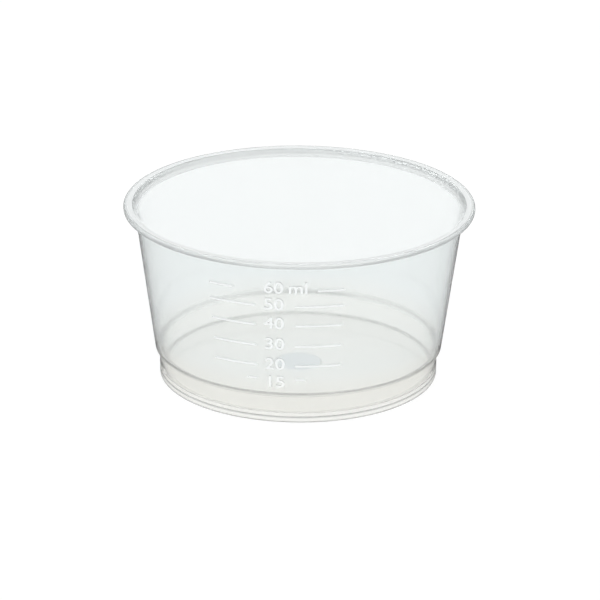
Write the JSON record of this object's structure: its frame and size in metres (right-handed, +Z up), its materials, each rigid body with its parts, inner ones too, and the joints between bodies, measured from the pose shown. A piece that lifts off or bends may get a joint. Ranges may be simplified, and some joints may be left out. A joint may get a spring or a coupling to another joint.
{
  "type": "gallipot",
  "caption": "Small clear plastic medicine cup with a stepped foot, tapering wall, turned-out rim and a raised millilitre scale on one side.",
  "frame": {"origin": "centre of the foot ring, on the surface the cup stands on", "axes": "+Z up along the cup's axis, out of its mouth; -Y towards the middle of the millilitre scale"},
  "size_m": [0.0644, 0.0644, 0.0328],
  "materials": {
    "clear_polypropylene": "gloss"
  },
  "bodies": {
    "root": {"gallipot": "clear_polypropylene"}
  },
  "joints": []
}
